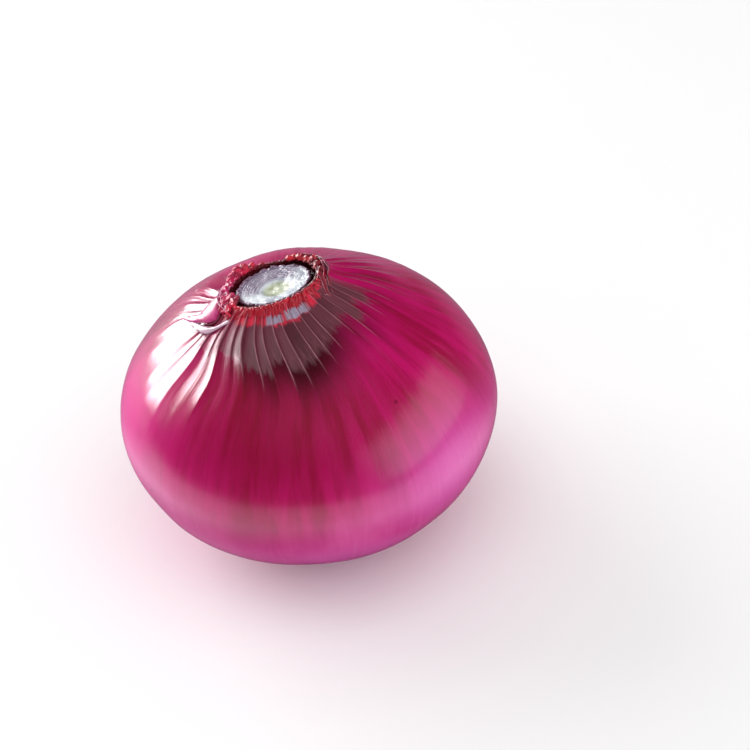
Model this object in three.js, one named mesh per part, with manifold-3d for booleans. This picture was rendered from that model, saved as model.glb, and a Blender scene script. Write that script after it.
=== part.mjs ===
import * as THREE from 'three';
import Module from 'manifold-3d';

// A red onion, trimmed at the neck and at the roots, in millimetres and +Z up.
// It stands on the flat underside of its root plate, and the origin is the
// centre of that flat. The bulb, its neck, the cut core and the curled skin all
// grew as one, so they are one solid.

const wasm = await Module();
wasm.setup();

const TURN = Math.PI * 2;

// Bulb: a squat round body, slightly pointed over its shoulder.
const EQUATOR_RADIUS = 42;
const EQUATOR_HEIGHT = 31.5;
const SHOULDER_RISE = 30.2;
const SHOULDER_POWER = 1.9;
const BELLY_DROP = 31.1;
const LOBE_SHARE = 0.006;
const LOBE_PHASE = 0.7;
const BELLY_RINGS = 6;
const SHOULDER_RINGS = 7;

// Root plate: the flat stub left where the roots were trimmed.
const PLATE_RADIUS = 8.5;
const PLATE_EDGE = [9.2, 0.9];
const PLATE_CREASE = [9.9, 1.35];
const BELLY_START_RADIUS = 12.5;

// Neck: it leans to -X, is oval in plan and carries the pleats of the skin.
const NECK_SHIFT = new THREE.Vector2(-3.7, 0.2);
const NECK_TURN = THREE.MathUtils.degToRad(16);
const NECK_LENGTHEN = 1.18;
const NECK_NARROW = 0.85;
const NECK_FOOT_RADIUS = 28;
const NECK_TOP_RADIUS = 9.2;
const NECK_RISE = 4.3;
const NECK_FLARE = 3.2;
const PLEATS = 26;
const PLEAT_DEPTH = 0.4;
const NECK_RINGS = 7;
const NECK_SPACING = 1.3;

// The cut across the neck: its slope, the torn rim, the gap and the core.
const CUT_SLOPE = new THREE.Vector2(0.15, -0.07);
const CORE_HEIGHT = 65.1;
const CORE_RADIUS = 6.7;
const RIM_RADIUS = 8.5;
const RIM_RISE = 0.5;
const RIM_RAGGED = 0.45;
const RIM_TEARS = [{ waves: 5, phase: 1, share: 1 }, { waves: 13, phase: 0, share: 0.6 }];
const CORE_EDGE_DROP = 0.2;
const GAP_INNER_RADIUS = 7.1;
const GAP_OUTER_RADIUS = 7.8;
const GAP_DEPTH = 2.6;

// Skin that has curled away from the rim.
const SKIN_THICKNESS = 0.9;
const SKIN_STEPS = 9;
const SKIN_CORNERS = 8;

// Four points to a pleat, so that each crest and each groove has its own.
const SIDES = PLEATS * 4;

// The shoulder's height at a distance from the axis, without the neck.
function shoulderHeight(radius) {
  const share = Math.min(radius / EQUATOR_RADIUS, 1) ** SHOULDER_POWER;
  return EQUATOR_HEIGHT + SHOULDER_RISE * (1 - share) ** (1 / SHOULDER_POWER);
}

function bellyHeight(radius) {
  return EQUATOR_HEIGHT - BELLY_DROP * Math.sqrt(1 - (radius / EQUATOR_RADIUS) ** 2);
}

// How far a ring belongs to the neck: 0 on the round body, 1 at the cut.
function neckShare(radius) {
  return 1 - THREE.MathUtils.smoothstep(radius, NECK_TOP_RADIUS, NECK_FOOT_RADIUS);
}

// One ring of points around the onion. neck blends it from a circle about the
// bulb's axis into the tilted, shifted oval of the neck.
function ring(radius, height, neck, pleat = 0, ragged = 0) {
  const points = [];
  for (let side = 0; side < SIDES; side += 1) {
    const angle = (side / SIDES) * TURN;
    const lobes = 1 + LOBE_SHARE * (1 - neck) * Math.cos(2 * angle + LOBE_PHASE);
    const wave = pleat * Math.cos(PLEATS * angle);
    const reach = radius * lobes + wave;
    const oval = new THREE.Vector2(
      reach * Math.cos(angle - NECK_TURN) * THREE.MathUtils.lerp(1, NECK_LENGTHEN, neck),
      reach * Math.sin(angle - NECK_TURN) * THREE.MathUtils.lerp(1, NECK_NARROW, neck),
    );
    oval.rotateAround(new THREE.Vector2(), NECK_TURN);
    const lift = neck * oval.dot(CUT_SLOPE);
    const tear = ragged * RIM_TEARS.reduce(
      (sum, { waves, phase, share }) => sum + share * Math.sin(waves * angle + phase),
      0,
    );
    points.push(new THREE.Vector3(
      oval.x + neck * NECK_SHIFT.x,
      oval.y + neck * NECK_SHIFT.y,
      height + lift + wave + tear,
    ));
  }
  return points;
}

// The rings from the flat spot up to the core, in order.
function onionRings() {
  const rings = [
    ring(PLATE_RADIUS, 0, 0),
    ring(...PLATE_EDGE, 0),
    ring(...PLATE_CREASE, 0),
  ];
  const start = Math.asin(BELLY_START_RADIUS / EQUATOR_RADIUS);
  for (let step = 0; step < BELLY_RINGS; step += 1) {
    const angle = THREE.MathUtils.lerp(start, Math.PI / 2, step / BELLY_RINGS);
    const radius = EQUATOR_RADIUS * Math.sin(angle);
    rings.push(ring(radius, bellyHeight(radius), 0));
  }
  const end = Math.asin(NECK_FOOT_RADIUS / EQUATOR_RADIUS);
  for (let step = 0; step <= SHOULDER_RINGS; step += 1) {
    const angle = THREE.MathUtils.lerp(Math.PI / 2, end, step / SHOULDER_RINGS);
    const radius = EQUATOR_RADIUS * Math.sin(angle);
    rings.push(ring(radius, shoulderHeight(radius), 0));
  }
  for (let step = 1; step <= NECK_RINGS; step += 1) {
    const radius = NECK_TOP_RADIUS
      + (NECK_FOOT_RADIUS - NECK_TOP_RADIUS) * (1 - step / NECK_RINGS) ** NECK_SPACING;
    const rise = NECK_RISE * Math.exp((NECK_TOP_RADIUS - radius) / NECK_FLARE);
    const share = neckShare(radius);
    const pleat = PLEAT_DEPTH * Math.min(share * 2, 1);
    rings.push(ring(radius, shoulderHeight(radius) + rise, share, pleat));
  }
  const gapFloor = CORE_HEIGHT - GAP_DEPTH;
  rings.push(
    ring(RIM_RADIUS, CORE_HEIGHT + RIM_RISE, 1, 0, RIM_RAGGED),
    ring(GAP_OUTER_RADIUS, gapFloor, 1),
    ring(GAP_INNER_RADIUS, gapFloor, 1),
    ring(CORE_RADIUS, CORE_HEIGHT - CORE_EDGE_DROP, 1),
    ring(CORE_RADIUS / 2, CORE_HEIGHT, 1),
  );
  return rings;
}

// Closes a stack of rings with a fan over each end, faces pointing out.
function closedSkin(rings, firstCentre, lastCentre) {
  const sides = rings[0].length;
  const points = [firstCentre, ...rings.flat(), lastCentre];
  const indices = [];
  for (let side = 0; side < sides; side += 1) {
    const next = (side + 1) % sides;
    indices.push(0, 1 + next, 1 + side);
    for (let level = 0; level + 1 < rings.length; level += 1) {
      const low = 1 + level * sides;
      const high = low + sides;
      indices.push(low + side, low + next, high + next);
      indices.push(low + side, high + next, high + side);
    }
    const top = 1 + (rings.length - 1) * sides;
    indices.push(points.length - 1, top + side, top + next);
  }
  const geometry = new THREE.BufferGeometry().setFromPoints(points);
  geometry.setIndex(indices);
  return geometry;
}

function onionBody() {
  const top = new THREE.Vector3(NECK_SHIFT.x, NECK_SHIFT.y, CORE_HEIGHT);
  return closedSkin(onionRings(), new THREE.Vector3(), top);
}

// A tongue of skin along a path: an eight-sided flat section whose half width
// is read from widths, spread along the across direction.
function skinTongue(path, widths, across) {
  const curve = new THREE.CatmullRomCurve3(path.map((point) => new THREE.Vector3(...point)));
  const side = new THREE.Vector3(...across).normalize();
  const rings = [];
  for (let step = 0; step <= SKIN_STEPS; step += 1) {
    const along = step / SKIN_STEPS;
    const centre = curve.getPoint(along);
    const tangent = curve.getTangent(along);
    const normal = new THREE.Vector3().crossVectors(tangent, side).normalize();
    const spread = new THREE.Vector3().crossVectors(normal, tangent).normalize();
    const place = along * (widths.length - 1);
    const before = Math.min(Math.floor(place), widths.length - 2);
    const half = THREE.MathUtils.lerp(widths[before], widths[before + 1], place - before);
    rings.push(Array.from({ length: SKIN_CORNERS }, (_, corner) => {
      const angle = (corner / SKIN_CORNERS) * TURN;
      return centre.clone()
        .addScaledVector(spread, half * Math.cos(angle))
        .addScaledVector(normal, SKIN_THICKNESS * 0.5 * Math.sin(angle));
    }));
  }
  return closedSkin(rings, curve.getPoint(0), curve.getPoint(1));
}

function toManifold(geometry) {
  return new wasm.Manifold(new wasm.Mesh({
    numProp: 3,
    vertProperties: new Float32Array(geometry.attributes.position.array),
    triVerts: new Uint32Array(geometry.index.array),
  }));
}

function toGeometry(manifold) {
  const mesh = manifold.getMesh();
  const geometry = new THREE.BufferGeometry();
  geometry.setAttribute('position', new THREE.BufferAttribute(mesh.vertProperties, 3));
  geometry.setIndex(new THREE.BufferAttribute(mesh.triVerts, 1));
  geometry.computeVertexNormals();
  return geometry;
}

// Left of the neck: a broad curled lobe that ends in a thin tail.
const leftLobe = skinTongue(
  [[-11.6, -2.2, 63], [-15, -1.8, 64.3], [-18.4, -2, 62.6], [-20.6, -3, 60.3]],
  [2.2, 3.4, 3, 1.2],
  [-0.15, 1, 0.1],
);
const leftTail = skinTongue(
  [[-18.6, -2.6, 62.3], [-21.4, -1, 61], [-24, 1.2, 59.9]],
  [1.3, 0.9, 0.35],
  [0.5, 0.8, 0.2],
);

// Right of the neck: narrow strands that curl over and down the shoulder.
const rightStrands = [
  skinTongue(
    [[4.8, 0.4, 65.3], [8, -0.4, 66.2], [10.4, -1.6, 63.9], [11.4, -2.6, 61.4]],
    [1.5, 1.3, 0.9, 0.4],
    [0.3, 1, 0],
  ),
  skinTongue(
    [[4.4, -1.4, 65], [7.4, -2.6, 65.5], [9.4, -4.2, 63.2], [10.2, -5.6, 61]],
    [1.3, 1.2, 0.8, 0.4],
    [0.6, 1, 0],
  ),
  skinTongue(
    [[3.6, 2.4, 65.5], [6.6, 3, 66.4], [9, 2.6, 64.4], [10.4, 1.8, 62]],
    [1.4, 1.3, 0.9, 0.5],
    [-0.2, 1, 0],
  ),
];

const onion = [leftLobe, leftTail, ...rightStrands].reduce(
  (solid, tongue) => solid.add(toManifold(tongue)),
  toManifold(onionBody()),
);

const bulb = new THREE.Mesh(
  toGeometry(onion),
  new THREE.MeshStandardMaterial({ color: 0x9f1258, roughness: 0.28, metalness: 0 }),
);
bulb.name = 'onion_bulb';

const part = new THREE.Group();
part.add(bulb);

export default part;
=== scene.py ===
import math
import random

import bmesh
import bpy
import numpy as np
from mathutils import Matrix, Vector, noise


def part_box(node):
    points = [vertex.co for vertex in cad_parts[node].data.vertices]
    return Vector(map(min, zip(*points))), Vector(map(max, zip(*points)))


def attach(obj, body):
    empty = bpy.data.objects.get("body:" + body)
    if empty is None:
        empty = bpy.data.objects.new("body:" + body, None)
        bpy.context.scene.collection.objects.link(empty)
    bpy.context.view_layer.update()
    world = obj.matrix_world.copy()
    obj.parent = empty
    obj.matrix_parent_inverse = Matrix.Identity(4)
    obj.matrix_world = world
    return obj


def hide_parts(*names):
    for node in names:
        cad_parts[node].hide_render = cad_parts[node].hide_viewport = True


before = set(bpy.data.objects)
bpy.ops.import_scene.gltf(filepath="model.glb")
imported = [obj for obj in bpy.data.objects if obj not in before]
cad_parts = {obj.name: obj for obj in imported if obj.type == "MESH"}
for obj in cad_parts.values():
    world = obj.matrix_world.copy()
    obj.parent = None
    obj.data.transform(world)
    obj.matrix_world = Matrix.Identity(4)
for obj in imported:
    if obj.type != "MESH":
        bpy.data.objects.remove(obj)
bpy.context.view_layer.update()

# ---------------------------------------------------------------- camera
# The onion is looked down on from the front, through a lens long enough to
# keep its squat round shape, and the picture leans a little to the left.
NODE = "onion_bulb"
low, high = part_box(NODE)
EQUATOR_HEIGHT = 0.0315

CAMERA_RISE = math.radians(41)
CAMERA_ROLL = math.radians(8)
CAMERA_DISTANCE = 0.400
CAMERA_LENS = 85.3
AIM_RIGHT = 0.0374
AIM_UP = 0.0137


def make_camera():
    centre = Vector((0, 0, low.z + EQUATOR_HEIGHT))
    back = Vector((0, -math.cos(CAMERA_RISE), math.sin(CAMERA_RISE)))
    right = Vector((1, 0, 0))
    up = back.cross(right)
    turned_right = right * math.cos(CAMERA_ROLL) - up * math.sin(CAMERA_ROLL)
    turned_up = right * math.sin(CAMERA_ROLL) + up * math.cos(CAMERA_ROLL)
    ahead = (-back + turned_right * AIM_RIGHT + turned_up * AIM_UP).normalized()
    side = ahead.cross(turned_up).normalized()
    data = bpy.data.cameras.new("camera")
    data.lens = CAMERA_LENS
    data.sensor_width = 36
    data.clip_start = 0.01
    data.clip_end = 20
    camera = bpy.data.objects.new("camera", data)
    turn = Matrix((side, side.cross(ahead), -ahead)).transposed().to_4x4()
    camera.matrix_world = Matrix.Translation(centre + back * CAMERA_DISTANCE) @ turn
    bpy.context.collection.objects.link(camera)
    bpy.context.scene.camera = camera


make_camera()
bpy.context.scene.view_settings.view_transform = "Standard"


# ---------------------------------------------------------------- studio
# A wide pale table, a tall window behind and to the left that puts the white
# glare on the skin, a big white card on the right, and soft light from above.
# The table isn't plain to reflections: they see it dark and tinted, with a
# glowing patch in front of the bulb, and they see a darker room.
FLOOR_RADIUS = 3.0
FLOOR_COLOUR = (0.88, 0.88, 0.88, 1)
BACKDROP_SEEN = (0.92, 0.92, 0.92)
AMBIENT = 0.62
ROOM_AT_HORIZON = 0.04
ROOM_OVERHEAD = 0.01
SHINE_NEAR = (0.046, 0.085)
SHINE_FAR = (0.48, 0.075)
SHINE_COLOUR = (0.86, 0.74, 0.90)
SHINE_GLOW = 0.95
SHINE_FRONT = (-0.15, -1, 0)
SHINE_FRONT_EDGE = (-0.045, 0.035)
UNLIT_COLOUR = (0.26, 0.15, 0.22)


def new_material(name):
    material = bpy.data.materials.new(name)
    material.use_nodes = True
    nodes = material.node_tree.nodes
    nodes.clear()
    output = nodes.new("ShaderNodeOutputMaterial")
    shader = nodes.new("ShaderNodeBsdfPrincipled")
    material.node_tree.links.new(shader.outputs[0], output.inputs["Surface"])
    return material, nodes, material.node_tree.links, shader


def make_floor():
    mesh = bpy.data.meshes.new("floor")
    builder = bmesh.new()
    bmesh.ops.create_circle(builder, cap_ends=True, segments=96, radius=FLOOR_RADIUS)
    builder.to_mesh(mesh)
    builder.free()
    floor = bpy.data.objects.new("floor", mesh)
    floor.location = (0, 0, low.z)
    bpy.context.collection.objects.link(floor)
    material, nodes, links, shader = new_material("pale_table")
    here = nodes.new("ShaderNodeTexCoord").outputs["Object"]
    length = nodes.new("ShaderNodeVectorMath")
    length.operation = "LENGTH"
    links.new(here, length.inputs[0])
    front = nodes.new("ShaderNodeVectorMath")
    front.operation = "DOT_PRODUCT"
    front.inputs[1].default_value = SHINE_FRONT
    links.new(here, front.inputs[0])
    lit = None
    for source, (start, end) in (
        (length.outputs["Value"], SHINE_NEAR),
        (length.outputs["Value"], SHINE_FAR),
        (front.outputs["Value"], SHINE_FRONT_EDGE),
    ):
        ramp = nodes.new("ShaderNodeMapRange")
        ramp.interpolation_type = "SMOOTHSTEP"
        ramp.inputs["From Min"].default_value = start
        ramp.inputs["From Max"].default_value = end
        links.new(source, ramp.inputs["Value"])
        if lit is None:
            lit = ramp.outputs[0]
        else:
            both = nodes.new("ShaderNodeMath")
            both.operation = "MULTIPLY"
            links.new(lit, both.inputs[0])
            links.new(ramp.outputs[0], both.inputs[1])
            lit = both.outputs[0]
    shine = nodes.new("ShaderNodeMix")
    shine.data_type = "RGBA"
    shine.inputs["A"].default_value = UNLIT_COLOUR + (1,)
    shine.inputs["B"].default_value = SHINE_COLOUR + (1,)
    links.new(lit, shine.inputs["Factor"])
    seen = nodes.new("ShaderNodeMix")
    seen.data_type = "RGBA"
    seen.inputs["A"].default_value = FLOOR_COLOUR
    links.new(shine.outputs["Result"], seen.inputs["B"])
    glossy = nodes.new("ShaderNodeLightPath").outputs["Is Glossy Ray"]
    links.new(glossy, seen.inputs["Factor"])
    links.new(seen.outputs["Result"], shader.inputs["Base Color"])
    glow = nodes.new("ShaderNodeMath")
    glow.operation = "MULTIPLY"
    links.new(lit, glow.inputs[0])
    links.new(glossy, glow.inputs[1])
    strength = nodes.new("ShaderNodeMath")
    strength.operation = "MULTIPLY"
    strength.inputs[1].default_value = SHINE_GLOW
    links.new(glow.outputs[0], strength.inputs[0])
    shader.inputs["Emission Color"].default_value = SHINE_COLOUR + (1,)
    links.new(strength.outputs[0], shader.inputs["Emission Strength"])
    shader.inputs["Roughness"].default_value = 0.7
    shader.inputs["Specular IOR Level"].default_value = 0.2
    mesh.materials.append(material)


def make_room():
    world = bpy.data.worlds.new("room")
    bpy.context.scene.world = world
    world.use_nodes = True
    nodes = world.node_tree.nodes
    links = world.node_tree.links
    nodes.clear()
    output = nodes.new("ShaderNodeOutputWorld")
    background = nodes.new("ShaderNodeBackground")
    links.new(background.outputs[0], output.inputs["Surface"])
    place = nodes.new("ShaderNodeTexCoord")
    split = nodes.new("ShaderNodeSeparateXYZ")
    links.new(place.outputs["Generated"], split.inputs[0])
    ramp = nodes.new("ShaderNodeValToRGB")
    ramp.color_ramp.interpolation = "EASE"
    ramp.color_ramp.elements[0].position = 0.0
    ramp.color_ramp.elements[0].color = (ROOM_AT_HORIZON,) * 3 + (1,)
    ramp.color_ramp.elements[1].position = 0.45
    ramp.color_ramp.elements[1].color = (ROOM_OVERHEAD,) * 3 + (1,)
    links.new(split.outputs["Z"], ramp.inputs[0])
    path = nodes.new("ShaderNodeLightPath")
    gloss = nodes.new("ShaderNodeMix")
    gloss.data_type = "RGBA"
    gloss.inputs["A"].default_value = (AMBIENT,) * 3 + (1,)
    links.new(path.outputs["Is Glossy Ray"], gloss.inputs["Factor"])
    links.new(ramp.outputs[0], gloss.inputs["B"])
    seen = nodes.new("ShaderNodeMix")
    seen.data_type = "RGBA"
    seen.inputs["B"].default_value = BACKDROP_SEEN + (1,)
    links.new(path.outputs["Is Camera Ray"], seen.inputs["Factor"])
    links.new(gloss.outputs["Result"], seen.inputs["A"])
    links.new(seen.outputs["Result"], background.inputs["Color"])


def add_panel(name, turn, rise, distance, size, radiance, diffuse=True, glossy=True):
    """A soft rectangular light, turn degrees left of straight behind the onion."""
    turn, rise = math.radians(turn), math.radians(rise)
    away = Vector((
        -math.sin(turn) * math.cos(rise),
        math.cos(turn) * math.cos(rise),
        math.sin(rise),
    ))
    data = bpy.data.lights.new(name, "AREA")
    data.shape = "RECTANGLE"
    data.size, data.size_y = size
    data.energy = radiance * math.pi * size[0] * size[1]
    panel = bpy.data.objects.new(name, data)
    panel.location = away * distance + Vector((0, 0, EQUATOR_HEIGHT))
    panel.rotation_mode = "QUATERNION"
    panel.rotation_quaternion = away.to_track_quat("Z", "Y")
    panel.visible_camera = False
    panel.visible_diffuse = diffuse
    panel.visible_glossy = glossy
    bpy.context.collection.objects.link(panel)


make_floor()
make_room()
add_panel("window_glare", 44, 23, 0.9, (0.76, 0.58), 17.0, diffuse=False)
add_panel("window_light", 50, 22, 0.9, (0.78, 0.66), 3.2, glossy=False)
for number, turn in enumerate((-104, -112, -120)):
    add_panel("white_card_%d" % number, turn, 17 + 2 * number, 0.8, (1.0, 0.46 + 0.04 * number), 0.50)
add_panel("overhead", 190, 70, 0.9, (1.0, 0.8), 1.1, glossy=False)


# ---------------------------------------------------------------- outer skin
# The bulb's glossy outer skin: one thin leaf that wraps the squat body and is
# gathered at the top into the ribbed neck. It grew around the layers inside,
# and it turns in over the torn edge to line the gap around the core.
EQUATOR_RADIUS = 0.042
SHOULDER_RISE = 0.0302
SHOULDER_POWER = 1.9
BELLY_DROP = 0.0311
LOBE_SHARE = 0.006
PLATE_CREASE_RADIUS = 0.0099

NECK_SHIFT = np.array((-0.0037, 0.0002))
NECK_TURN = math.radians(16)
NECK_LENGTHEN = 1.18
NECK_NARROW = 0.85
NECK_FOOT_RADIUS = 0.028
NECK_TOP_RADIUS = 0.0092
NECK_RISE = 0.0043
NECK_FLARE = 0.0032
CUT_SLOPE = np.array((0.15, -0.07))
CORE_HEIGHT = 0.0651

RIDGES = 42
RIDGE_HEIGHT = 0.00046
BAND_SHARES = np.array((0, 0.045, 0.10, 0.22, 0.38, 0.54, 0.70, 0.83, 0.91, 0.955))
BAND_LIFT = np.array((1.0, 0.45, 0.0, 0.08, 0.22, 0.38, 0.54, 0.70, 0.82, 0.91, 1.0))
SKIN_SIDES = RIDGES * len(BAND_SHARES)
TURN = 2 * math.pi


def smooth(edge0, edge1, value):
    share = np.clip((value - edge0) / (edge1 - edge0), 0, 1)
    return share * share * (3 - 2 * share)


def wrapped(angle):
    """The angle between -pi and pi."""
    return (angle + math.pi) % TURN - math.pi


def bump_at(angle, centre, width):
    """A soft bump of height 1 around a direction, all three in degrees."""
    away = wrapped(angle - math.radians(centre))
    return np.exp(-(away / math.radians(width)) ** 2)


def field(points, scale, seed=0):
    """Smooth noise between about -1 and 1 at each row of points."""
    shift = Vector((seed * 3.7, seed * 1.9, seed * 5.3))
    return np.array([noise.noise(Vector(p) * scale + shift) for p in points])


def shoulder_height(radius):
    share = np.minimum(radius / EQUATOR_RADIUS, 1) ** SHOULDER_POWER
    return EQUATOR_HEIGHT + SHOULDER_RISE * (1 - share) ** (1 / SHOULDER_POWER)


def belly_height(radius):
    share = np.minimum(radius / EQUATOR_RADIUS, 1)
    return EQUATOR_HEIGHT - BELLY_DROP * np.sqrt(1 - share ** 2)


def neck_share(radius):
    return 1 - smooth(NECK_TOP_RADIUS, NECK_FOOT_RADIUS, radius)


def place(radius, angle, height):
    """Points of the bulb: a circle low down, the leaning oval of the neck on top."""
    neck = np.where(np.asarray(height) > EQUATOR_HEIGHT, neck_share(radius), 0)
    lobes = 1 + LOBE_SHARE * (1 - neck) * np.cos(2 * angle + 0.7)
    along = radius * lobes * np.cos(angle - NECK_TURN) * (1 + (NECK_LENGTHEN - 1) * neck)
    across = radius * lobes * np.sin(angle - NECK_TURN) * (1 + (NECK_NARROW - 1) * neck)
    x = along * math.cos(NECK_TURN) - across * math.sin(NECK_TURN)
    y = along * math.sin(NECK_TURN) + across * math.cos(NECK_TURN)
    lift = neck * (x * CUT_SLOPE[0] + y * CUT_SLOPE[1])
    return np.stack((x + neck * NECK_SHIFT[0], y + neck * NECK_SHIFT[1], height + lift), -1)


def neck_height(radius):
    rise = NECK_RISE * np.exp((NECK_TOP_RADIUS - radius) / NECK_FLARE)
    return shoulder_height(radius) + rise


def skin_point(radius, angle, out=0.0):
    """A point on the upper skin, raised by out."""
    radius, angle = np.asarray(radius, float), np.asarray(angle, float)
    point = place(radius, angle, neck_height(radius))
    step = 0.0002
    inward = place(radius - step, angle, neck_height(radius - step)) - point
    round_about = place(radius, angle + 0.01, neck_height(radius)) - point
    normal = np.cross(round_about, inward)
    normal /= np.linalg.norm(normal, axis=-1, keepdims=True)
    return point + normal * np.asarray(out)[..., None]


ridge_random = random.Random(11)
ridge_angles = [
    TURN * (k + 0.62 * (ridge_random.random() - 0.5)) / RIDGES for k in range(RIDGES)
]
ridge_heights = [0.55 + 0.6 * ridge_random.random() for _ in range(RIDGES)]
ridge_reaches = [ridge_random.uniform(-0.0016, 0.0016) for _ in range(RIDGES)]


def ridge_profile(angle):
    """Where each direction lies between two ridges: how near the crest it is,
    and the crest's own height and reach, mixed across the band between them."""
    bounds = np.array(ridge_angles + [ridge_angles[0] + TURN])
    heights = np.array(ridge_heights + ridge_heights[:1])
    reaches = np.array(ridge_reaches + ridge_reaches[:1])
    turned = (angle - bounds[0]) % TURN + bounds[0]
    band = np.clip(np.searchsorted(bounds, turned, side="right") - 1, 0, RIDGES - 1)
    share = (turned - bounds[band]) / (bounds[band + 1] - bounds[band])
    crest = np.interp(share, np.append(BAND_SHARES, 1), BAND_LIFT)
    near = np.where(share < 0.06, band, band + 1)
    return share, crest, heights[near], reaches[near], band


def skin_angles():
    """Every direction in which the skin has points: each rib's edge and its sides."""
    bounds = np.array(ridge_angles + [ridge_angles[0] + TURN])
    return (bounds[:-1, None] + np.diff(bounds)[:, None] * BAND_SHARES).ravel()


def ribbed_side(angle):
    """1 where the neck's skin is dry and ribbed, in front, 0 behind."""
    away = np.abs(np.degrees(wrapped(angle - math.radians(272))))
    return 1 - smooth(66, 84, away)


def ribbed_end(angle):
    """How far down the shoulder the dry ribbed band of the neck reaches."""
    return (
        0.0180
        + 0.0022 * bump_at(angle, 262, 30)
        - 0.0012 * bump_at(angle, 335, 25)
        - 0.0010 * bump_at(angle, 90, 60)
    )


def ring_stations():
    """(radius, height) of every ring from the root plate up to the torn edge."""
    stations = []
    start = math.asin(PLATE_CREASE_RADIUS / EQUATOR_RADIUS)
    for share in np.linspace(0, 1, 66, endpoint=False):
        radius = EQUATOR_RADIUS * math.sin(start + (math.pi / 2 - start) * share)
        stations.append((radius, float(belly_height(radius))))
    end = math.asin(NECK_FOOT_RADIUS / EQUATOR_RADIUS)
    for share in np.linspace(0, 1, 36, endpoint=False):
        radius = EQUATOR_RADIUS * math.sin(math.pi / 2 + (end - math.pi / 2) * share)
        stations.append((radius, float(shoulder_height(radius))))
    for share in np.linspace(0, 1, 92):
        radius = NECK_TOP_RADIUS + (NECK_FOOT_RADIUS - NECK_TOP_RADIUS) * (1 - share) ** 1.25
        stations.append((radius, float(neck_height(radius))))
    return stations


def grid_object(name, points, closed_start=True, closed_end=True):
    """A smooth mesh from rings of points, closed around and capped at its ends."""
    levels, sides = points.shape[:2]
    level, side = np.meshgrid(np.arange(levels - 1), np.arange(sides), indexing="ij")
    following = (side + 1) % sides
    quads = np.stack((
        level * sides + side,
        level * sides + following,
        (level + 1) * sides + following,
        (level + 1) * sides + side,
    ), -1).reshape(-1, 4).tolist()
    vertices = points.reshape(-1, 3).tolist()
    if closed_start:
        vertices.append(points[0].mean(axis=0).tolist())
        quads += [(len(vertices) - 1, (s + 1) % sides, s) for s in range(sides)]
    if closed_end:
        top = (levels - 1) * sides
        vertices.append(points[-1].mean(axis=0).tolist())
        quads += [(len(vertices) - 1, top + s, top + (s + 1) % sides) for s in range(sides)]
    mesh = bpy.data.meshes.new(name)
    mesh.from_pydata(vertices, [], quads)
    mesh.polygons.foreach_set("use_smooth", [True] * len(mesh.polygons))
    mesh.update()
    made = bpy.data.objects.new(name, mesh)
    bpy.context.collection.objects.link(made)
    return made


def write_attribute(made, name, values):
    values = np.asarray(values, float).ravel()
    padded = np.full(len(made.data.vertices), values[-1])
    padded[:len(values)] = values
    made.data.attributes.new(name, "FLOAT", "POINT").data.foreach_set("value", padded)


def write_meridian(made, angle, points):
    """Stores (cos, sin, length along the meridian in radii), which streaks follow."""
    steps = np.linalg.norm(np.diff(points, axis=0), axis=-1)
    length = np.concatenate((np.zeros((1, points.shape[1])), np.cumsum(steps, axis=0)))
    turned = np.broadcast_to(angle, length.shape)
    values = np.stack((np.cos(turned), np.sin(turned), length / EQUATOR_RADIUS), -1).reshape(-1, 3)
    padded = np.repeat(values[-1:], len(made.data.vertices), axis=0)
    padded[:len(values)] = values
    attribute = made.data.attributes.new("meridian", "FLOAT_VECTOR", "POINT")
    attribute.data.foreach_set("vector", padded.ravel())


def finish_piece(made):
    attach(made, "root")
    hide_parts(NODE)


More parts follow.
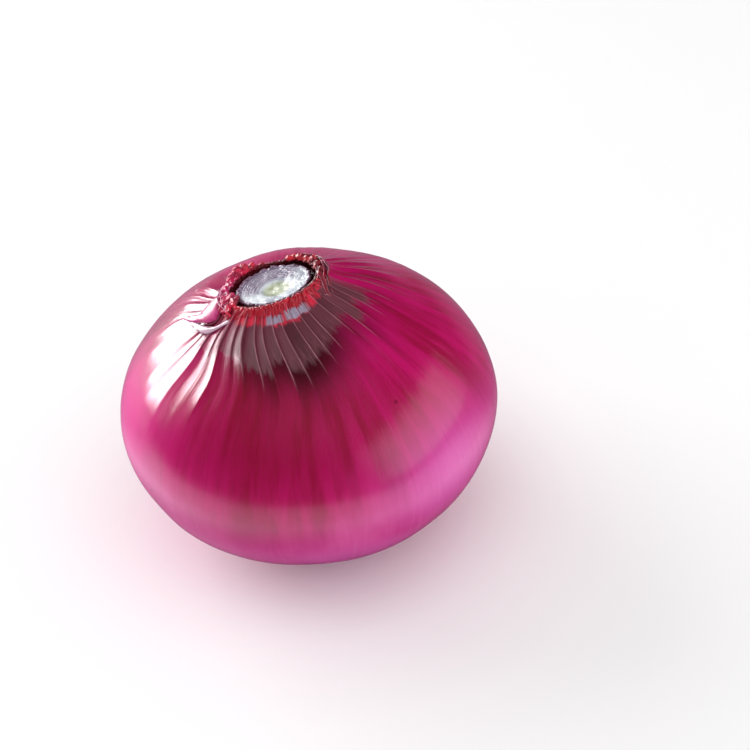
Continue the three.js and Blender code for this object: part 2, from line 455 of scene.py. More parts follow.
def make_skin():
    stations = np.array(ring_stations())
    angles = skin_angles()
    radius, angle = np.meshgrid(stations[:, 0], angles, indexing="ij")
    height = np.repeat(stations[:, 1:2], SKIN_SIDES, axis=1)
    share, crest, tall, reach, band = ridge_profile(angle)
    upper = height > EQUATOR_HEIGHT
    front = ribbed_side(angle)

    # Sharp ribs on the neck in front, soft wrinkles behind it, and long low folds
    # down the left shoulder.
    ribs_end = ribbed_end(angle) + reach
    ribs = np.where(upper, 1 - smooth(ribs_end - 0.006, ribs_end + 0.003, radius), 0)
    ribs *= smooth(0.0088, 0.0105, radius) * (0.40 + 0.60 * front)
    long_folds = bump_at(angle, 205, 45) + 0.45 * bump_at(angle, 20, 40) + 0.3 * bump_at(angle, 120, 40)
    folds_end = 0.020 + 0.019 * np.clip(long_folds, 0, 1)
    folds = np.where(upper, 1 - smooth(folds_end - 0.013, folds_end, radius), 0)
    folds *= smooth(0.010, 0.016, radius)
    wide_crest = 1 - np.abs(np.sin(math.pi * (band + share) / 2))
    soft_crest = 0.62 * wide_crest + 0.36 * tall * (1 - np.abs(np.sin(math.pi * share)))
    lift = RIDGE_HEIGHT * (tall * crest * ribs + soft_crest * folds)

    # Slight swells and flats around the body, as the layers press from inside,
    # and fine creases that run down from the neck.
    around = np.stack((np.cos(angle), np.sin(angle), height * 12), -1).reshape(-1, 3)
    swell = field(around, 2.2, 1) * 0.00035 + field(around, 5.5, 2) * 0.00010
    body = np.where(upper, smooth(0.014, 0.030, radius), smooth(0.010, 0.018, radius))
    lift = lift + swell.reshape(lift.shape) * body
    creased = np.stack((np.cos(angle) * 16, np.sin(angle) * 16, height * 30), -1).reshape(-1, 3)
    creases = field(creased, 1.0, 4).reshape(lift.shape)
    crease_share = np.where(upper, smooth(0.012, 0.018, radius) * (1 - smooth(0.026, 0.041, radius)), 0)
    lift += 0.00011 * creases * crease_share

    points = place(radius, angle, height)
    along = np.gradient(points, axis=0)
    about = np.roll(points, -1, axis=1) - np.roll(points, 1, axis=1)
    normal = np.cross(about, along)
    normal /= np.linalg.norm(normal, axis=-1, keepdims=True)
    points = points + normal * lift[..., None]

    # Over the torn edge, down the dark gap and in under the core.
    lining = [(0.0088, 0.0650), (0.0084, 0.0650), (0.0080, 0.0640), (0.0078, 0.0625), (0.0060, 0.0622)]
    rings = [place(np.full(SKIN_SIDES, r), angles, np.full(SKIN_SIDES, h)) for r, h in lining]
    points = np.concatenate((points, np.array(rings)))
    skin = grid_object("outer_skin", points)
    write_meridian(skin, angles, points)

    def spread(name, values, lining_value=0.0):
        tail = np.full((len(lining), SKIN_SIDES), lining_value)
        write_attribute(skin, name, np.concatenate((np.broadcast_to(values, radius.shape), tail)))

    # The dry band of the neck ends raggedly, each rib at its own length.
    reaches = np.array(ridge_reaches)[band % RIDGES]
    band_end = ribbed_end(angle) + reaches * 0.9
    fine = field(around, 34, 3).reshape(angle.shape)
    past_end = radius - band_end - fine * 0.0016
    dry = (1 - smooth(-0.0010, 0.0008, past_end)) * front * (1 - 0.75 * bump_at(angle, 200, 34))
    spread("dry_neck", np.where(upper, dry, 0))
    spread("rib_fade", np.where(upper, smooth(-0.0060, 0.0004, past_end), 0))
    spread("rib_tone", np.array([ridge_random.random() for _ in range(RIDGES)])[band % RIDGES])
    # Thin pale edge along each rib: partly pale dry skin, partly painted highlight.
    edge = 1 - smooth(0.0, 0.06, np.minimum(share, 1 - share))
    edge_end = np.where(upper, 1 - smooth(-0.0005, 0.0042, radius - ribs_end), 0)
    edge_end = edge_end * (0.35 + 0.65 * front) + 0.5 * folds * (1 - front)
    spread("pale_edge_and_highlight", edge * np.clip(edge_end, 0, 1) * (0.45 + 0.55 * np.clip(tall, 0, 1)))
    # Painted shadow: a dark line painted in the crease beside each rib's step.
    painted_crease_shadow = np.exp(-((share - 0.11) / 0.055) ** 2) + 0.35 * np.exp(-((share - 0.86) / 0.05) ** 2)
    spread("painted_crease_shadow", np.clip(painted_crease_shadow, 0, 1) * np.clip(edge_end, 0, 1))
    # Darker at the foot of the dry neck: partly the skin's own maroon, partly painted shade in the hollow
    # where the neck meets the shoulder.
    foot = np.where(upper, np.exp(-((radius - band_end - 0.0002) / 0.0052) ** 2), 0)
    spread("neck_foot_pigment_and_shade", foot * (0.16 + 0.84 * bump_at(angle, 278, 44)))
    lines = np.exp(-((share - 0.14) / 0.13) ** 2) * (1 - smooth(0.018, 0.038, radius))
    spread("long_line", np.where(upper, lines * (0.2 + 0.8 * (tall > 0.8)), 0))
    # The lining in the gap is marked for painted shadow.
    spread("gap", np.zeros_like(radius), 1.0)
    deep = bump_at(angle, 252, 34) * smooth(0.014, 0.022, radius) * smooth(0.036, 0.047, height)
    spread("front_deep", np.where(upper, deep, 0))
    painted_card_reflection = bump_at(angle, 312, 22) * (1 - smooth(0.036, 0.050, height)) * smooth(0.016, 0.030, height)
    painted_table_reflection = bump_at(angle, 276, 34) * (1 - smooth(0.017, 0.030, height))
    # Painted reflection: a paler, pinker tone painted into the skin's colour where the table and the card
    # mirror in it.
    spread("painted_reflection_tint", np.maximum(painted_card_reflection, painted_table_reflection))

    # Torn red skin stuck over the tops of the ribs in front, split around two
    # patches of the pale skin below.
    turned = np.degrees(angle) % 360
    torn = np.stack((np.cos(angle) * 9, np.sin(angle) * 9, height * 160), -1).reshape(-1, 3)
    tatters = field(torn, 1.0, 9).reshape(angle.shape) + 0.6 * field(torn, 2.7, 10).reshape(angle.shape)
    torn_end = 0.0092 + 0.0016 * front + 0.0016 * bump_at(angle, 279, 32) - 0.0006 * bump_at(angle, 340, 30)
    stain = 1 - smooth(-0.0002, 0.0003, radius - torn_end - 0.0010 * tatters)
    spread("stain", np.where(upper, stain * front, 0))
    across = smooth(259, 264, turned) * (1 - smooth(299, 304, turned))
    across = across * (1 - np.exp(-((turned - 278) / 2) ** 2))
    ragged = 0.0003 * tatters
    down = smooth(0.0104, 0.0107, radius + ragged) * (1 - smooth(0.0119, 0.0122, radius - ragged))
    spread("patch", np.where(upper, across * down, 0))

    # How far the crimson has paled to pink: towards the root, sooner at the sides.
    side_shift = (
        0.006 * bump_at(angle, 186, 30)
        + 0.007 * bump_at(angle, 325, 34)
        - 0.003 * bump_at(angle, 250, 34)
    )
    spread("paling", 1 - smooth(0.010, 0.048, height - side_shift), 0)
    # Painted light: a hot pink painted on the left edge, where the window light falls strongest.
    spread("left_edge_painted_light", bump_at(angle, 186, 24) * np.where(upper, smooth(0.030, 0.040, radius), 1))
    # Painted sheen: a paler pink painted over the far shoulder, where the skin mirrors the room at a grazing
    # angle.
    far_side_painted_sheen = bump_at(angle, 95, 50) * smooth(0.014, 0.030, radius) * smooth(0.032, 0.050, height)
    spread("far_side_painted_sheen", np.where(upper, far_side_painted_sheen, 0))
    # Paler pink towards the bottom, mostly on the left side and faintly on the right.
    side_edge = 0.85 * bump_at(angle, 205, 34) + 0.10 * bump_at(angle, 350, 36)
    spread("paler_low_sides", side_edge * (1 - smooth(0.012, 0.044, height)))
    return skin


def mix_colours(nodes, links, factor, first, second, blend="MIX"):
    """first and second are colours or output sockets; factor is a number or a socket."""
    mix = nodes.new("ShaderNodeMix")
    mix.data_type = "RGBA"
    mix.blend_type = blend
    for socket, value in (("Factor", factor), ("A", first), ("B", second)):
        if isinstance(value, bpy.types.NodeSocket):
            links.new(value, mix.inputs[socket])
        elif socket == "Factor":
            mix.inputs[socket].default_value = value
        else:
            mix.inputs[socket].default_value = tuple(value) + (1,)
    return mix.outputs["Result"]


def do_math(nodes, links, operation, *values):
    node = nodes.new("ShaderNodeMath")
    node.operation = operation
    for index, value in enumerate(values):
        if isinstance(value, bpy.types.NodeSocket):
            links.new(value, node.inputs[index])
        else:
            node.inputs[index].default_value = value
    return node.outputs[0]


def do_vector(nodes, links, operation, *values):
    node = nodes.new("ShaderNodeVectorMath")
    node.operation = operation
    for index, value in enumerate(values):
        if isinstance(value, bpy.types.NodeSocket):
            links.new(value, node.inputs[index])
        else:
            node.inputs[index].default_value = value
    return node.outputs[0]


def read_attribute(nodes, name):
    node = nodes.new("ShaderNodeAttribute")
    node.attribute_name = name
    return node.outputs["Fac"]


def remap(nodes, links, value, low_in, high_in, low_out=0.0, high_out=1.0):
    node = nodes.new("ShaderNodeMapRange")
    node.interpolation_type = "SMOOTHSTEP"
    links.new(value, node.inputs["Value"])
    for name, number in (
        ("From Min", low_in), ("From Max", high_in), ("To Min", low_out), ("To Max", high_out),
    ):
        node.inputs[name].default_value = number
    return node.outputs["Result"]


def noise_value(nodes, links, vector, scale, detail=2.0, rough=0.5):
    node = nodes.new("ShaderNodeTexNoise")
    links.new(vector, node.inputs["Vector"])
    node.inputs["Scale"].default_value = scale
    node.inputs["Detail"].default_value = detail
    node.inputs["Roughness"].default_value = rough
    return node.outputs["Fac"]


def add_bump(nodes, links, height, strength, distance, after=None):
    bump = nodes.new("ShaderNodeBump")
    bump.inputs["Strength"].default_value = strength
    bump.inputs["Distance"].default_value = distance
    links.new(height, bump.inputs["Height"])
    if after is not None:
        links.new(after, bump.inputs["Normal"])
    return bump.outputs["Normal"]


def streak_vector(nodes, links, stretch):
    """The skin's own meridians, with their length pressed by stretch, so that a
    pattern in it runs in long streaks from the neck to the root."""
    node = nodes.new("ShaderNodeAttribute")
    node.attribute_name = "meridian"
    return do_vector(nodes, links, "MULTIPLY", node.outputs["Vector"], (1, 1, stretch))


def skin_material():
    material, nodes, links, shader = new_material("glossy_red_skin")
    here = nodes.new("ShaderNodeTexCoord").outputs["Object"]
    streaks = streak_vector(nodes, links, 0.16)
    long_streaks = streak_vector(nodes, links, 0.06)

    broad = noise_value(nodes, links, streaks, 3.0, 3)
    bands = noise_value(nodes, links, streaks, 9.0, 3, 0.6)
    veins = noise_value(nodes, links, long_streaks, 40.0, 3, 0.65)
    fine = noise_value(nodes, links, long_streaks, 130.0, 2, 0.6)
    clouds = noise_value(nodes, links, here, 55.0, 3, 0.55)

    # Pigment: deep crimson over the shoulder, magenta lower down, then pink. Painted reflection, painted
    # light and painted shade are mixed in after it.
    paling = do_math(nodes, links, "MULTIPLY_ADD", broad, 0.50, read_attribute(nodes, "paling"))
    paling = do_math(nodes, links, "MULTIPLY_ADD", bands, 0.34, paling)
    paling = do_math(nodes, links, "MULTIPLY_ADD", clouds, 0.30, paling)
    paling = do_math(nodes, links, "SUBTRACT", paling, 0.57)
    deep = mix_colours(nodes, links, remap(nodes, links, bands, 0.36, 0.64),
                       (0.30, 0.0, 0.044), (0.46, 0.0004, 0.105))
    deep = mix_colours(nodes, links, remap(nodes, links, clouds, 0.40, 0.66, 0, 0.5),
                       deep, (0.50, 0.0012, 0.125))
    pale = mix_colours(nodes, links, remap(nodes, links, clouds, 0.34, 0.66),
                       (0.53, 0.014, 0.18), (0.66, 0.072, 0.29))
    half_pale = remap(nodes, links, read_attribute(nodes, "paling"), 0.15, 0.60)
    deep = mix_colours(nodes, links, half_pale, deep, (0.46, 0.004, 0.155))
    front_deep = do_math(nodes, links, "MULTIPLY", read_attribute(nodes, "front_deep"), 0.60)
    deep = mix_colours(nodes, links, front_deep, deep, (0.20, 0.0, 0.012))
    colour = mix_colours(nodes, links, remap(nodes, links, paling, 0.22, 0.90), deep, pale)
    # Painted reflection of the table and the card, mixed into the base colour.
    painted_reflection_tint = do_math(nodes, links, "MULTIPLY", read_attribute(nodes, "painted_reflection_tint"), 0.82)
    colour = mix_colours(nodes, links, painted_reflection_tint, colour, (0.61, 0.068, 0.35))
    vein_share = do_math(nodes, links, "MULTIPLY", remap(nodes, links, veins, 0.50, 0.70),
                         remap(nodes, links, paling, 0.2, 0.95, 0.0, 0.08))
    colour = mix_colours(nodes, links, vein_share, colour, (0.90, 0.26, 0.60))
    dark_share = do_math(nodes, links, "MULTIPLY", remap(nodes, links, veins, 0.47, 0.32),
                         remap(nodes, links, paling, 0.1, 0.9, 0.16, 0.03))
    colour = mix_colours(nodes, links, dark_share, colour, (0.23, 0.0, 0.040))
    # Painted light on the left edge, facing the window.
    painted_left_light = do_math(nodes, links, "MULTIPLY", read_attribute(nodes, "left_edge_painted_light"), 0.75)
    colour = mix_colours(nodes, links, painted_left_light, colour, (0.92, 0.020, 0.34))
    # Painted sheen on the far shoulder.
    painted_far_sheen = do_math(nodes, links, "MULTIPLY", read_attribute(nodes, "far_side_painted_sheen"), 0.45)
    colour = mix_colours(nodes, links, painted_far_sheen, colour, (0.78, 0.09, 0.25))
    paler_low_sides = do_math(nodes, links, "MULTIPLY", read_attribute(nodes, "paler_low_sides"), 0.62)
    colour = mix_colours(nodes, links, paler_low_sides, colour, (0.92, 0.25, 0.54))
    line_share = do_math(nodes, links, "MULTIPLY", read_attribute(nodes, "long_line"), 0.34)
    colour = mix_colours(nodes, links, line_share, colour, (0.17, 0.0, 0.016))
    # Dark foot of the neck: pigment and painted shade.
    foot = do_math(nodes, links, "MULTIPLY", read_attribute(nodes, "neck_foot_pigment_and_shade"), 0.95)
    colour = mix_colours(nodes, links, foot, colour, (0.030, 0.0, 0.002))

    # The dry ribbed neck: mauve bands that darken to maroon at their ends, with painted shadow in the creases
    # beside each rib and thin pale edges that are partly pale skin and partly painted highlight.
    fibres = noise_value(nodes, links, long_streaks, 230.0, 2, 0.7)
    tone = read_attribute(nodes, "rib_tone")
    mauve = mix_colours(nodes, links, tone, (0.040, 0.004, 0.013), (0.140, 0.038, 0.058))
    mauve = mix_colours(nodes, links, remap(nodes, links, fibres, 0.38, 0.62, 0.0, 0.75),
                        mauve, (0.105, 0.006, 0.018))
    maroon = mix_colours(nodes, links, remap(nodes, links, fibres, 0.35, 0.65),
                         (0.050, 0.003, 0.008), (0.19, 0.045, 0.070))
    fade = do_math(nodes, links, "MULTIPLY", read_attribute(nodes, "rib_fade"), 0.88)
    dry_colour = mix_colours(nodes, links, fade, mauve, maroon)
    dry = read_attribute(nodes, "dry_neck")
    colour = mix_colours(nodes, links, do_math(nodes, links, "MULTIPLY", dry, 0.95), colour, dry_colour)
    stain = mix_colours(nodes, links, remap(nodes, links, bands, 0.40, 0.62),
                        (0.30, 0.0, 0.012), (0.66, 0.001, 0.038))
    # Pale pink streaks painted among the fibres of the torn red skin: painted glints.
    stain = mix_colours(nodes, links, remap(nodes, links, fibres, 0.54, 0.72, 0.0, 0.7),
                        stain, (0.80, 0.14, 0.26))
    colour = mix_colours(nodes, links, read_attribute(nodes, "stain"), colour, stain)
    patch = mix_colours(nodes, links, remap(nodes, links, fibres, 0.35, 0.65),
                        (0.18, 0.12, 0.20), (0.44, 0.39, 0.50))
    colour = mix_colours(nodes, links, read_attribute(nodes, "patch"), colour, patch)
    # Painted shadow in the creases.
    painted_crease_shadow = do_math(nodes, links, "MULTIPLY", read_attribute(nodes, "painted_crease_shadow"), 0.80)
    colour = mix_colours(nodes, links, painted_crease_shadow, colour, (0.080, 0.001, 0.008))
    # Pale rib edges, partly pale skin and partly painted highlight.
    edge_tint_share = remap(nodes, links, fibres, 0.30, 0.66, 0.25, 0.85)
    pale_edge_and_highlight = do_math(nodes, links, "MULTIPLY", read_attribute(nodes, "pale_edge_and_highlight"), edge_tint_share)
    colour = mix_colours(nodes, links, pale_edge_and_highlight, colour, (0.52, 0.23, 0.30))
    # Painted shadow: the lining down the gap between the skin and the core is painted nearly black.
    colour = mix_colours(nodes, links, read_attribute(nodes, "gap"), colour, (0.055, 0.0, 0.004))

    # A few pale and dark specks.
    specks = nodes.new("ShaderNodeTexVoronoi")
    specks.inputs["Scale"].default_value = 190
    links.new(here, specks.inputs["Vector"])
    rare = nodes.new("ShaderNodeSeparateColor")
    links.new(specks.outputs["Color"], rare.inputs[0])
    spot = remap(nodes, links, specks.outputs["Distance"], 0.11, 0.05)
    for channel, colour_of_speck in (("Red", (0.80, 0.45, 0.55)), ("Green", (0.14, 0.0, 0.02))):
        few = do_math(nodes, links, "GREATER_THAN", rare.outputs[channel], 0.95)
        here_and_there = do_math(nodes, links, "MULTIPLY", spot, few)
        colour = mix_colours(nodes, links, do_math(nodes, links, "MULTIPLY", here_and_there, 0.7),
                             colour, colour_of_speck)
    links.new(colour, shader.inputs["Base Color"])

    gloss = remap(nodes, links, fine, 0.3, 0.7, 0.20, 0.26)
    gloss = do_math(nodes, links, "MULTIPLY_ADD", dry, 0.52, gloss)
    links.new(gloss, shader.inputs["Roughness"])
    shader.inputs["IOR"].default_value = 1.45
    shader.inputs["Specular IOR Level"].default_value = 0.5
    links.new(do_math(nodes, links, "MULTIPLY_ADD", dry, -0.38, 0.4), shader.inputs["Coat Weight"])
    shader.inputs["Coat Roughness"].default_value = 0.11
    shader.inputs["Coat IOR"].default_value = 1.4

    normal = add_bump(nodes, links, veins, 0.22, 0.00020)
    normal = add_bump(nodes, links, fine, 0.16, 0.00005, normal)
    links.new(normal, shader.inputs["Normal"])
    links.new(normal, shader.inputs["Coat Normal"])
    return material


skin = make_skin()
skin.data.materials.append(skin_material())
finish_piece(skin)


# ---------------------------------------------------------------- cut core
# The pale wet end of the neck, where the fleshy layers were cut across. The
# layers show as close dark rings around an off-centre, greenish heart, and the
# whole stump is grown up from the bulb through the torn skin.
MM = 0.001
CORE_RADIUS = 7.8 * MM
CORE_RINGS = 92
CORE_SIDES = 288
HEART = np.array((0.9, -1.9)) * MM
CORE_SHORTEN = 0.13
CORE_LEVEL = -0.03
CORE_SHIFT = np.array((-0.35, -0.45)) * MM
LAYER_EDGES = (0.44, 0.53, 0.61, 0.68, 0.75, 0.81, 0.87, 0.92)


def core_layers(share):
    """A small ridge at every layer's edge."""
    height = np.zeros_like(share)
    for index, edge in enumerate(LAYER_EDGES):
        height += (0.7 + 0.3 * math.sin(index * 2.1)) * np.exp(-((share - edge) / 0.013) ** 2)
    return height


def make_core():
    side = np.arange(CORE_SIDES) / CORE_SIDES * TURN
    share, angle = np.meshgrid(np.linspace(1, 0.004, CORE_RINGS), side, indexing="ij")
    flat = np.stack((np.cos(angle), np.sin(angle), share * 2), -1).reshape(-1, 3)
    wander = field(flat, 2.6, 5).reshape(share.shape)
    layered = share + wander * 0.022 * share
    behind = 0.10 + 0.90 * smooth(-0.10, 0.60, np.cos(angle - math.radians(116)))
    ragged = field(flat * [1, 1, 0.5], 11, 6).reshape(share.shape)
    radius = CORE_RADIUS * share * (1 + 0.030 * ragged * share ** 4 + 0.014 * wander)
    top = place(radius, angle, np.full_like(radius, CORE_HEIGHT))
    along = np.array((math.cos(NECK_TURN), math.sin(NECK_TURN)))
    reach = ((top[..., :2] - NECK_SHIFT) @ along)[..., None]
    top[..., :2] -= CORE_SHORTEN * reach * along
    top[..., 2] += CORE_LEVEL * reach[..., 0]
    top[..., :2] += CORE_SHIFT + HEART * (1 - share[..., None] ** 1.5) * 0.9
    grain = field(top.reshape(-1, 3), 2600, 7).reshape(share.shape)
    lumps = field(top.reshape(-1, 3), 700, 8).reshape(share.shape)
    crust = smooth(0.88, 0.97, share) * (0.20 + 0.34 * ragged)
    lift = (
        0.08 * core_layers(layered + 0.012 * lumps) * behind * (0.55 + 0.9 * np.clip(ragged + 0.4, 0, 1))
        + 0.06 * grain * (0.3 + 0.7 * smooth(0.4, 0.7, share))
        + 0.16 * lumps
        - 0.50 * (1 - smooth(0.15, 0.62, share))
        + crust
    )
    top[..., 2] += lift * MM
    walls = []
    for drop, spread in ((2.6, 1.035), (1.7, 1.045), (0.9, 1.045), (0.35, 1.03)):
        wall = top[0].copy()
        middle = wall.mean(axis=0)
        wall[:, :2] = middle[:2] + (wall[:, :2] - middle[:2]) * spread
        wall[:, 2] -= drop * MM
        walls.append(wall)
    core = grid_object("cut_core", np.concatenate((np.array(walls), top)))
    # The core's sides, down in the gap, are marked for painted shade.
    edge = np.ones((len(walls), CORE_SIDES))
    write_attribute(core, "layer", np.concatenate((edge * 1.08, layered)))
    write_attribute(core, "back_side", np.concatenate((edge, behind)))
    # Paler flesh towards the heart, and a near-white at the front left and on the right: partly the flesh's
    # own pale blue-white, partly painted highlight for the wet shine.
    pale_flesh_and_wet_highlight = (1 - smooth(0.35, 0.86, share)) * 0.25 + 0.9 * bump_at(angle, 222, 34) * smooth(0.3, 0.5, share)
    pale_flesh_and_wet_highlight += 0.6 * bump_at(angle, 350, 22) * smooth(0.3, 0.5, share)
    write_attribute(core, "pale_flesh_and_wet_highlight", np.concatenate((edge * 0, np.clip(pale_flesh_and_wet_highlight, 0, 1))))
    return core


def core_material():
    material, nodes, links, shader = new_material("wet_cut_flesh")
    layer = read_attribute(nodes, "layer")
    back_side = read_attribute(nodes, "back_side")
    pale_flesh_and_wet_highlight = read_attribute(nodes, "pale_flesh_and_wet_highlight")
    here = nodes.new("ShaderNodeTexCoord").outputs["Object"]
    patches = noise_value(nodes, links, here, 420, 3, 0.6)
    grain = noise_value(nodes, links, here, 2200, 3, 0.7)
    heart = mix_colours(nodes, links, remap(nodes, links, patches, 0.35, 0.65),
                        (0.33, 0.36, 0.23), (0.55, 0.60, 0.44))
    flesh = mix_colours(nodes, links, remap(nodes, links, patches, 0.4, 0.6),
                        (0.30, 0.33, 0.40), (0.52, 0.57, 0.64))
    # Pale flesh and painted wet highlight.
    flesh = mix_colours(nodes, links, pale_flesh_and_wet_highlight, flesh, (0.78, 0.84, 0.88))
    colour = mix_colours(nodes, links, remap(nodes, links, layer, 0.28, 0.46), heart, flesh)
    ring = nodes.new("ShaderNodeTexWave")
    ring.wave_type = "BANDS"
    ring.inputs["Scale"].default_value = 4.4
    ring.inputs["Distortion"].default_value = 0.0
    spread = nodes.new("ShaderNodeCombineXYZ")
    grainy_layer = do_math(nodes, links, "MULTIPLY_ADD", grain, 0.10, layer)
    grainy_layer = do_math(nodes, links, "MULTIPLY_ADD", patches, 0.07, grainy_layer)
    links.new(grainy_layer, spread.inputs["X"])
    links.new(spread.outputs[0], ring.inputs["Vector"])
    layered = mix_colours(nodes, links, remap(nodes, links, ring.outputs["Fac"], 0.15, 0.8),
                          (0.135, 0.085, 0.155), (0.27, 0.23, 0.32))
    outer = do_math(nodes, links, "MULTIPLY", remap(nodes, links, layer, 0.38, 0.56), back_side)
    colour = mix_colours(nodes, links, do_math(nodes, links, "MULTIPLY", outer, 0.95), colour, layered)
    speck = do_math(nodes, links, "MULTIPLY", remap(nodes, links, grain, 0.60, 0.72), 0.45)
    colour = mix_colours(nodes, links, speck, colour, (0.58, 0.55, 0.64))
    crust = mix_colours(nodes, links, remap(nodes, links, grain, 0.35, 0.65),
                        (0.075, 0.012, 0.035), (0.30, 0.19, 0.30))
    colour = mix_colours(nodes, links, remap(nodes, links, layer, 0.90, 0.98), colour, crust)
    # Painted shade: the core's sides down in the gap are painted nearly black.
    colour = mix_colours(nodes, links, remap(nodes, links, layer, 1.03, 1.08), colour, (0.05, 0.0, 0.006))
    links.new(colour, shader.inputs["Base Color"])
    dull = remap(nodes, links, patches, 0.3, 0.7, 0.30, 0.60)
    links.new(dull, shader.inputs["Roughness"])
    shader.inputs["Specular IOR Level"].default_value = 0.5
    shader.inputs["Coat Weight"].default_value = 0.15
    shader.inputs["Coat Roughness"].default_value = 0.16
    normal = add_bump(nodes, links, grain, 0.55, 0.00012)
    links.new(add_bump(nodes, links, patches, 0.5, 0.0004, normal), shader.inputs["Normal"])
    return material


core = make_core()
core.data.materials.append(core_material())
finish_piece(core)


# ---------------------------------------------------------------- torn edge
# The raw red edge left where the dry neck was twisted and cut off: wet shreds
# of skin, clotted together into a ragged collar around the gap. It is the top
# of the outer skin, so it grows out of the ribs all the way round.
EDGE_VOXEL = 0.00015
shred_random = random.Random(23)


def rim_lean(angle):
    """How far the top of the torn edge leans in over the gap, in mm."""
    turned = np.radians(angle)
    return 1.5 * bump_at(turned, 48, 40) + 0.9 * bump_at(turned, 2, 28)


def rim_point(angle, radius, rise):
    """A point by the torn edge: angle in degrees, radius and rise over it in mm."""
    radius = radius - rim_lean(angle) * min(max((rise + 0.6) / 1.4, 0), 1)
    return Vector(place(np.array(radius * MM), np.array(math.radians(angle)),
                        np.array(CORE_HEIGHT + rise * MM)).tolist())


def neck_point(angle, radius, out):
    """A point on the neck's skin: angle in degrees, radius and out from it in mm."""
    return Vector(skin_point(radius * MM, math.radians(angle), out * MM).tolist())


def add_shred(builder, centre, along, length, width, thick):
    """A lump of torn skin, longest in the along direction."""
    along = Vector(along).normalized()
    side = along.orthogonal()
    side.rotate(Matrix.Rotation(shred_random.uniform(0, TURN), 3, along))
    turn = Matrix((side, along.cross(side), along)).transposed().to_4x4()
    size = Matrix.Diagonal((width / 2, thick / 2, length / 2, 1))
    bmesh.ops.create_icosphere(
        builder, subdivisions=2, radius=1, matrix=Matrix.Translation(Vector(centre)) @ turn @ size)


def fuse(name, builder, voxel, soften):
    """Clots everything in the builder into one closed skin, then softens it."""
    mesh = bpy.data.meshes.new(name + "_raw")
    builder.to_mesh(mesh)
    builder.free()
    raw = bpy.data.objects.new(name + "_raw", mesh)
    bpy.context.collection.objects.link(raw)
    remesh = raw.modifiers.new("clot", "REMESH")
    remesh.mode = "VOXEL"
    remesh.voxel_size = voxel
    if soften:
        smoother = raw.modifiers.new("soften", "SMOOTH")
        smoother.factor = 0.5
        smoother.iterations = soften
    graph = bpy.context.evaluated_depsgraph_get()
    fused = bpy.data.meshes.new_from_object(raw.evaluated_get(graph))
    fused.name = name
    bpy.data.objects.remove(raw)
    bpy.data.meshes.remove(mesh)
    fused.polygons.foreach_set("use_smooth", [True] * len(fused.polygons))
    made = bpy.data.objects.new(name, fused)
    bpy.context.collection.objects.link(made)
    return made


def rim_height(angle):
    """How far the torn edge stands up, in mm: high behind and at the sides, low in
    front, with one break in it at the back."""
    turned = np.radians(angle)
    height = (
        0.10
        + 1.25 * bump_at(turned, 128, 24)
        + 1.15 * bump_at(turned, 50, 26)
        + 1.25 * bump_at(turned, 178, 32)
        + 1.00 * bump_at(turned, 8, 30)
    )
    return float(height * (1 - 0.97 * bump_at(turned, 84, 10)))


def rim_reach(angle):
    """How thick the clotted edge is, in mm, across the neck."""
    turned = np.radians(angle)
    return float(0.55 + 0.75 * bump_at(turned, 20, 42) + 0.45 * bump_at(turned, 140, 30)
                 + 0.45 * bump_at(turned, 195, 25))


